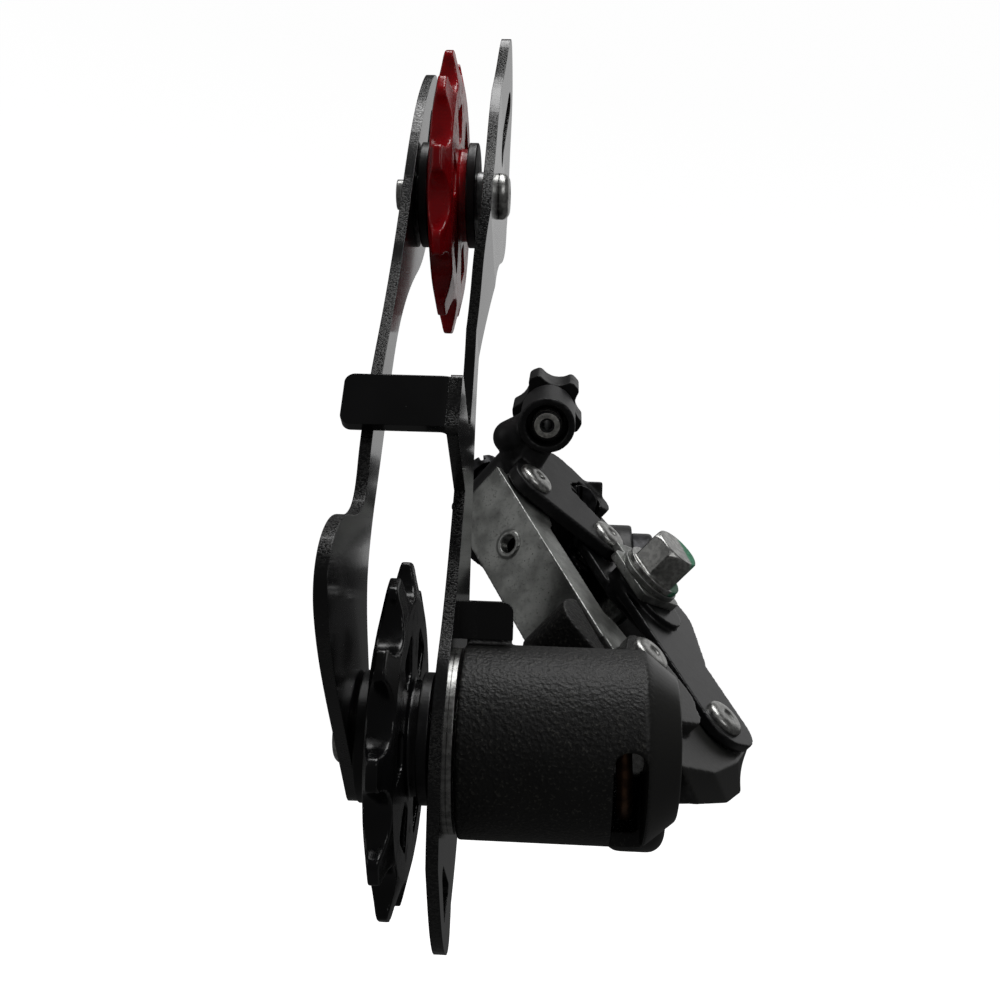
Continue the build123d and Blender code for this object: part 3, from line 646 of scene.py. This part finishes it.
@dataclass
class Workshop:
    """Makes visual pieces from the frame's nodes and hands them to their bodies."""

    slots: dict[str, str] = field(default_factory=dict)
    bodies: dict[str, str] = field(default_factory=dict)
    lathe_sides: int = 72
    lathe_crease: float = 40
    thread_sides: int = 40
    thread_crease: float = 60
    thread_rows: int = 8
    weld_gap: float = 1e-6

    def __post_init__(self) -> None:
        """Reads which slot and body each node has."""
        record = frame["record"]
        for row in record["subparts"]:
            self.slots[row["node"]] = row["material_slot"]
        for body, nodes in record["behaviour"]["bodies"].items():
            for node in nodes:
                self.bodies[node] = body

    def dress(self, piece: bpy.types.Object, finish: Finish) -> None:
        """Puts a finish on every slot of a piece.

        Args:
            piece: the object.
            finish: its finish.
        """
        material = bpy.data.materials.get(finish.name) or finish.make()
        if not piece.material_slots:
            piece.data.materials.append(material)
        for material_slot in piece.material_slots:
            material_slot.link = "OBJECT"
            material_slot.material = material

    def keep(self, node: str, finish: Finish) -> None:
        """Keeps a CAD node's own mesh and gives it a finish.

        Args:
            node: the node's name.
            finish: its finish.
        """
        self.dress(frame["nodes"][node], finish)
        log.info("kept %s with %s", node, finish.name)

    def settle(self, piece: bpy.types.Object, node: str, finish: Finish) -> None:
        """Makes a new piece stand for a CAD node.

        Args:
            piece: the new object, in place.
            node: the node that it replaces.
            finish: its finish.
        """
        self.dress(piece, finish)
        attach(piece, self.bodies[node])
        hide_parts(node)
        log.info("built %s with %s", piece.name, finish.name)

    def add(self, piece: bpy.types.Object, near: str, finish: Finish) -> None:
        """Makes a new piece ride with a CAD node that it adds detail to.

        Args:
            piece: the new object, in place.
            near: the node whose body it shares.
            finish: its finish.
        """
        self.dress(piece, finish)
        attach(piece, self.bodies[near])
        log.info("added %s beside %s", piece.name, near)

    def rounded(self, node: str, finish: Finish, grid: Grid) -> None:
        """Copy of a CAD node with its edges rounded in the mesh, which replaces it.

        Args:
            node: the node's name.
            finish: its finish.
            grid: how it is remeshed and smoothed.
        """
        mesh = frame["nodes"][node].data.copy()
        mesh.materials.clear()
        weld = bmesh.new()
        weld.from_mesh(mesh)
        bmesh.ops.remove_doubles(weld, verts=weld.verts, dist=self.weld_gap)
        weld.to_mesh(mesh)
        weld.free()
        for name in [layer.name for layer in mesh.uv_layers]:
            mesh.uv_layers.remove(mesh.uv_layers[name])
        piece = bpy.data.objects.new(f"{node}_shell", mesh)
        bpy.context.scene.collection.objects.link(piece)
        remesh = piece.modifiers.new("grid", "REMESH")
        remesh.mode = "VOXEL"
        remesh.voxel_size = grid.voxel_mm * MM
        soften = piece.modifiers.new("soften", "SMOOTH")
        soften.factor = 0.5
        soften.iterations = grid.passes
        self.freeze(piece)
        for polygon in piece.data.polygons:
            polygon.use_smooth = True
        self.settle(piece, node, finish)

    def freeze(self, piece: bpy.types.Object) -> None:
        """Turns a piece's modifiers into its mesh.

        Args:
            piece: the object.
        """
        graph = bpy.context.evaluated_depsgraph_get()
        made = bpy.data.meshes.new_from_object(piece.evaluated_get(graph))
        old = piece.data
        piece.modifiers.clear()
        piece.data = made
        bpy.data.meshes.remove(old)

    def lathe(self, name: str, outline: list[tuple[float, float]], at: Vector,
              axis: Vector) -> bpy.types.Object:
        """Turned piece.

        Args:
            name: the piece's name.
            outline: (radius, along) points in millimetres, from axis to axis.
            at: where along = 0 is.
            axis: unit vector of the turning axis.

        Returns:
            The new piece.
        """
        sides = self.lathe_sides
        side = axis.orthogonal().normalized()
        other = axis.cross(side)
        mesh = bmesh.new()
        rings = []
        for radius, along in outline:
            ring = []
            count = sides if radius > 0 else 1
            for i in range(count):
                turn = math.tau * i / sides
                spoke = side * math.cos(turn) + other * math.sin(turn)
                ring.append(mesh.verts.new(at + axis * (along * MM) + spoke * (radius * MM)))
            rings.append(ring)
        for low, high in zip(rings, rings[1:]):
            for i in range(sides):
                corners = [low[i % len(low)], low[(i + 1) % len(low)]]
                corners += [high[(i + 1) % len(high)], high[i % len(high)]]
                unique = list(dict.fromkeys(corners))
                if len(unique) > 2:
                    mesh.faces.new(unique)
        bmesh.ops.recalc_face_normals(mesh, faces=mesh.faces)
        return self.finish_mesh(name, mesh, self.lathe_crease)

    def finish_mesh(self, name: str, mesh: bmesh.types.BMesh, crease: float) -> bpy.types.Object:
        """Object from a bmesh, shaded smooth except at sharp creases.

        Args:
            name: the object's name.
            mesh: the bmesh, which is freed.
            crease: angle in degrees above which an edge stays sharp.

        Returns:
            The new object.
        """
        data = bpy.data.meshes.new(name)
        for edge in mesh.edges:
            if len(edge.link_faces) == 2 and edge.calc_face_angle() > math.radians(crease):
                edge.smooth = False
        for face in mesh.faces:
            face.smooth = True
        mesh.to_mesh(data)
        mesh.free()
        piece = bpy.data.objects.new(name, data)
        bpy.context.scene.collection.objects.link(piece)
        return piece

    def thread(self, name: str, at: Vector, axis: Vector, length: float, radius: float,
               pitch: float) -> bpy.types.Object:
        """Helical screw thread with closed, chamfered ends.

        Args:
            name: the piece's name.
            at: centre of its first end.
            axis: unit vector along it.
            length: length in millimetres.
            radius: crest radius in millimetres.
            pitch: thread pitch in millimetres.

        Returns:
            The new piece.
        """
        sides = self.thread_sides
        run_out = pitch * 0.8
        depth = pitch * 0.55
        side = axis.orthogonal().normalized()
        other = axis.cross(side)
        mesh = bmesh.new()
        rings = []
        rows = int(length / (pitch / self.thread_rows))
        for k in range(rows + 1):
            along = length * k / rows
            ring = []
            for i in range(sides):
                phase = (along / pitch + i / sides) % 1.0
                ridge = 1 - abs(2 * phase - 1)
                taper = min(1.0, along / run_out, (length - along) / run_out)
                r = radius - depth * (1 - min(1.0, ridge * 1.25) * taper)
                turn = math.tau * i / sides
                spoke = side * math.cos(turn) + other * math.sin(turn)
                ring.append(mesh.verts.new(at + axis * (along * MM) + spoke * (r * MM)))
            rings.append(ring)
        for low, high in zip(rings, rings[1:]):
            for i in range(sides):
                mesh.faces.new([low[i], low[(i + 1) % sides], high[(i + 1) % sides], high[i]])
        mesh.faces.new(rings[0][::-1])
        mesh.faces.new(rings[-1])
        bmesh.ops.recalc_face_normals(mesh, faces=mesh.faces)
        return self.finish_mesh(name, mesh, self.thread_crease)


@dataclass
class Places:
    """Axes of the mechanism, from the frame's joints."""

    joints: dict[str, dict] = field(default_factory=dict)

    def __post_init__(self) -> None:
        """Indexes the joints by name."""
        self.joints = {row["name"]: row for row in frame["joints"]}

    def point(self, joint: str) -> Vector:
        """Where a joint is."""
        return Vector(self.joints[joint]["pos_m"])

    def axis(self, joint: str) -> Vector:
        """Which way a joint turns."""
        return Vector(self.joints[joint]["axis"]).normalized()


# ------------------------------------------------------------------ sub-assemblies
@dataclass
class Cage:
    """Chain cage: two stamped plates, the axle they swing on, and what holds the wheels."""

    workshop: Workshop
    places: Places
    plate_inside: float = 0.0047
    plate_outside: float = 0.0094
    bolt_radius: float = 2.52
    thread_pitch: float = 0.8
    thread_length: float = 2.3
    thread_lead: float = 0.00001

    def build(self) -> None:
        """Dresses the plates and builds the bolts, caps and rings."""
        wheel_x = self.places.point("guide_pulley_spin").x
        outer = Enamel("outer plate enamel", Rounding.SHADED, edge_from=wheel_x + self.plate_inside,
                       edge_to=wheel_x + self.plate_outside)
        self.workshop.keep("cage_outer_plate", outer)
        self.workshop.keep("cage_inner_plate", Enamel("inner plate enamel", Rounding.SHADED))
        cap = Moulding("cap black", colour=(0.008, 0.008, 0.009), gloss=0.3)
        for wheel in ("guide", "tension"):
            for side in ("inner", "outer"):
                self.workshop.rounded(f"{wheel}_cap_{side}", cap, SMALL)
        self.bolts()
        ground = BrightSteel("ground steel", Rounding.SHADED, colour=(0.5, 0.5, 0.5), rough=0.25)
        self.workshop.keep("guide_pulley_bush", ground)
        self.workshop.keep("tension_pulley_bush", ground)
        pivot = tuple(self.places.point("cage_pivot"))
        turned = BrightSteel("axle steel", Rounding.SHADED, pivot, rough=0.2)
        self.workshop.keep("cage_axle", turned)
        self.workshop.keep("knuckle_seal_ring", turned)
        self.workshop.keep("axle_clip", turned)

    def bolts(self) -> None:
        """The pulley bolts, with a real thread where one sticks out."""
        for wheel in ("guide", "tension"):
            centre = self.places.point(f"{wheel}_pulley_spin")
            steel = BrightSteel(f"{wheel} bolt nickel", centre=tuple(centre))
            self.workshop.rounded(f"{wheel}_pulley_bolt", steel, BOLT_HEAD)
        low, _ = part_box("tension_pulley_bolt")
        end = Vector((low.x - self.thread_lead, centre.y, centre.z))
        ridge = self.workshop.thread("tension_bolt_thread", end, Vector((1, 0, 0)),
                                     self.thread_length, self.bolt_radius, self.thread_pitch)
        self.workshop.add(ridge, "tension_pulley_bolt", steel)


@dataclass
class ChainWheels:
    """The black guide wheel and the red tension wheel."""

    workshop: Workshop

    def build(self) -> None:
        """Moulds both wheels."""
        black = Moulding("wheel black", colour=(0.006, 0.006, 0.007), gloss=0.14)
        red = Moulding("wheel red", colour=(0.62, 0.006, 0.012), shade=(0.42, 0.003, 0.008),
                       gloss=0.16, glow=0.25)
        self.workshop.rounded("guide_pulley", black, MOULDED)
        self.workshop.rounded("tension_pulley", red, MOULDED)


@dataclass
class Rivets:
    """The four rivets of the parallelogram, all alike but for their length."""

    workshop: Workshop
    places: Places
    head_radius: float = 3.2
    shank_radius: float = 2.0
    long_end: float = 18.8
    low_head: float = 1.0
    short_end: float = 16.3

    def build(self) -> None:
        """Turns each rivet on its own axis."""
        out = -self.places.axis("link_swing")
        inner_b = self.places.point("inner_link_swing")
        outer_b = self.places.point("link_swing")
        outer_p = self.places.point("knuckle_swing")
        inner_p = inner_b + outer_p - outer_b
        self.rivet("inner_link_b_pin", inner_b, out, 0.0, self.long_end)
        self.rivet("outer_link_b_pin", outer_b, out, 0.0, self.long_end)
        self.rivet("inner_link_p_pin", inner_p, out, 0.0, self.long_end)
        self.rivet("outer_link_p_pin", outer_p, out, self.low_head, self.short_end)

    def rivet(self, node: str, at: Vector, out: Vector, drop: float, end: float) -> None:
        """One rivet, its head dished and its tail upset.

        Args:
            node: the pin that it replaces.
            at: where the joint is.
            out: unit vector out of the head.
            drop: how far the head's face lies below the joint, in millimetres.
            end: how far the tail's end lies below the joint, in millimetres.
        """
        rim, shank = self.head_radius, self.shank_radius
        outline = [(0, -0.34), (0.55, -0.32), (0.85, -0.2), (1.05, -0.03), (1.3, 0.0), (1.9, -0.02)]
        outline += [(2.4, -0.12), (2.8, -0.3), (3.08, -0.55), (rim, -0.85), (rim, -1.2), (shank, -1.2)]
        outline = [(r, a - drop) for r, a in outline]
        outline += [(shank, 0.25 - end), (shank - 0.2, 0.05 - end), (shank - 0.5, -end)]
        outline += [(0.7, -end), (0.5, 0.2 - end), (0, 0.25 - end)]
        piece = self.workshop.lathe(f"{node}_turned", outline, at, out)
        steel = BrightSteel(f"{node} nickel", Rounding.SHADED, tuple(at), tuple(out))
        self.workshop.settle(piece, node, steel)


@dataclass
class PivotKnuckle:
    """Lower knuckle: the spring housing and its arm."""

    workshop: Workshop
    smooth_from: float = 0.0146

    def build(self) -> None:
        """Casts the housing and dresses its spring."""
        coat = TexturedCoat("rough black coat", smooth_beyond_x=self.smooth_from)
        self.workshop.rounded("p_knuckle", coat, CAST)
        self.workshop.keep("cage_spring", SpringWire("spring wire"))


@dataclass
class Parallelogram:
    """The two links and the spring that pulls them out."""

    workshop: Workshop

    def build(self) -> None:
        """Presses both links and dresses the spring."""
        zinc = ZincPlate("zinc plate", drawn=(0.3, 1.4, 1.4))
        self.workshop.rounded("inner_link", zinc, MOULDED)
        black = SatinPaint("link black", rough=0.22)
        self.workshop.rounded("outer_link", black, PRESSED)
        self.workshop.keep("return_spring", BlackOxide("oxide spring"))


@dataclass
class BracketKnuckle:
    """Upper knuckle with the hanger bolt, the stop screws and the barrel adjuster."""

    workshop: Workshop
    places: Places
    tip_colour: Colour = (0.92, 0.91, 0.86)

    def build(self) -> None:
        """Casts the knuckle and fits its screws."""
        self.workshop.rounded("b_knuckle", SatinPaint("bracket black"), CAST)
        oxide = BlackOxide("oxide screw")
        self.workshop.rounded("hanger_bolt", oxide, TURNED)
        for screw in ("high_limit_screw", "low_limit_screw", "b_tension_screw"):
            self.workshop.rounded(screw, oxide, SMALL)
        self.workshop.rounded("hanger_stop_washer", ZincPlate("washer zinc"), PUNCHED)
        self.adjuster()

    def adjuster(self) -> None:
        """Knob, and the bright tube end that shows in the boss."""
        knob = Moulding("knob black", colour=(0.01, 0.01, 0.011), gloss=0.35)
        self.workshop.rounded("barrel_adjuster", knob, KNOB)
        at = self.places.point("barrel_turn")
        axis = self.places.axis("barrel_turn")
        outline = [(0.95, 6.0), (0.95, 0.7), (1.15, 0.42), (1.5, 0.36), (2.1, 0.36), (2.4, 0.5)]
        outline += [(2.52, 0.8), (2.52, 3.2), (2.2, 3.4), (0.95, 6.0)]
        tip = self.workshop.lathe("barrel_tip", outline, at, axis)
        steel = BrightSteel("barrel nickel", Rounding.SHADED, tuple(at), tuple(axis), self.tip_colour, 0.42)
        self.workshop.add(tip, "barrel_adjuster", steel)


@dataclass
class CableAnchor:
    """Bolt, washer and plate that pinch the shift cable."""

    workshop: Workshop
    places: Places
    painted_side: Triple = (1.0, 0.1, 0.35)

    def build(self) -> None:
        """Builds the three clamp pieces."""
        at = self.places.point("anchor_turn")
        out = self.places.axis("anchor_turn")
        side = Vector(self.painted_side)
        toward = (side - out * out.dot(side)).normalized()
        bolt = MarkedSteel("bolt nickel", centre=tuple(at), axis=tuple(out), toward=tuple(toward))
        self.workshop.rounded("anchor_bolt", bolt, SMALL_SOFT)
        zinc = ZincPlate("clamp zinc")
        self.workshop.rounded("pinch_plate", zinc, SMALL_SOFT)
        self.workshop.rounded("anchor_washer", zinc, SMALL)


# ------------------------------------------------------------------ studio
@dataclass(frozen=True)
class SoftBox:
    """One rectangular lamp: where it hangs, its width and height in metres, and its watts."""

    name: str
    at: Triple
    size: tuple[float, float]
    watts: float


@dataclass
class Studio:
    """Pale sweep, soft lights and the camera."""

    workshop: Workshop
    eye: Triple = (0.00254, -0.23003, 0.01356)
    right: Triple = (0.99807, 0.05300, 0.03228)
    forward: Triple = (-0.05303, 0.99859, 0.0)
    lens: float = 42.84
    swing_room: float = 0.165
    floor_radius: float = 0.9
    curve_radius: float = 0.5
    curve_steps: int = 24
    wall_height: float = 1.8
    room_light: float = 0.06
    boxes: tuple[SoftBox, ...] = (
        SoftBox("top box", (0.08, 0.02, 0.7), (0.5, 0.3), 2.2),
        SoftBox("front box", (0.4, -0.6, 0.35), (0.3, 0.3), 0.42),
        SoftBox("left box", (-0.6, -0.35, 0.3), (0.5, 0.6), 0.38),
        SoftBox("back card", (0.28, 0.5, 0.2), (0.6, 0.5), 0.42),
    )

    def build(self) -> None:
        """Sets up everything round the object."""
        self.sweep()
        self.lights()
        self.camera()

    def sweep(self) -> None:
        """Round floor, below the cage's whole swing, that curves up on every side."""
        low, _ = CAD_BOX
        outline = [(0.0, 0.0), (self.floor_radius, 0.0)]
        for i in range(1, self.curve_steps + 1):
            turn = math.pi / 2 * i / self.curve_steps
            out = self.floor_radius + self.curve_radius * math.sin(turn)
            outline.append((out, self.curve_radius * (1 - math.cos(turn))))
        outline.append((self.floor_radius + self.curve_radius, self.wall_height))
        at = Vector((0.0, 0.0, low.z - self.swing_room))
        piece = self.workshop.lathe("sweep", [(r / MM, z / MM) for r, z in outline], at, Vector((0, 0, 1)))
        piece.data.materials.append(PaleSweep("pale sweep").make())
        piece.visible_glossy = False
        piece.visible_diffuse = False
        piece.visible_shadow = False

    def lamp(self, box: SoftBox) -> None:
        """One soft box that faces the object and stays out of the camera's sight.

        Args:
            box: the lamp.
        """
        data = bpy.data.lights.new(box.name, "AREA")
        data.shape = "RECTANGLE"
        data.size, data.size_y = box.size
        data.energy = box.watts
        lamp = bpy.data.objects.new(box.name, data)
        lamp.location = box.at
        lamp.visible_camera = False
        low, high = CAD_BOX
        lamp.rotation_mode = "QUATERNION"
        lamp.rotation_quaternion = ((low + high) / 2 - Vector(box.at)).to_track_quat("-Z", "Y")
        bpy.context.scene.collection.objects.link(lamp)

    def lights(self) -> None:
        """The soft boxes and a dim, even room."""
        world = bpy.data.worlds.new("soft room")
        world.use_nodes = True
        backdrop = world.node_tree.nodes["Background"]
        backdrop.inputs["Color"].default_value = (1.0, 1.0, 1.0, 1.0)
        backdrop.inputs["Strength"].default_value = self.room_light
        bpy.context.scene.world = world
        for box in self.boxes:
            self.lamp(box)
        scene = bpy.context.scene
        scene.view_settings.view_transform = "Standard"
        scene.view_settings.look = "None"

    def camera(self) -> None:
        """The camera at the chosen viewing angle."""
        data = bpy.data.cameras.new("view")
        data.lens = self.lens
        data.sensor_width = 36.0
        data.clip_start, data.clip_end = 0.01, 10.0
        camera = bpy.data.objects.new("view", data)
        right = Vector(self.right).normalized()
        back = -Vector(self.forward).normalized()
        up = back.cross(right).normalized()
        turn = Matrix((right, up, back)).transposed().to_4x4()
        camera.matrix_world = Matrix.Translation(Vector(self.eye)) @ turn
        bpy.context.scene.collection.objects.link(camera)
        bpy.context.scene.camera = camera


def main() -> None:
    """Builds every sub-assembly in order."""
    logging.basicConfig(level=logging.INFO, format="%(name)s: %(message)s")
    workshop = Workshop()
    places = Places()
    groups = [Cage(workshop, places), ChainWheels(workshop), PivotKnuckle(workshop)]
    groups += [Parallelogram(workshop), Rivets(workshop, places)]
    groups += [BracketKnuckle(workshop, places), CableAnchor(workshop, places), Studio(workshop)]
    for group in groups:
        group.build()
        log.info("%s finished", type(group).__name__)


if __name__ == "__main__":
    main()
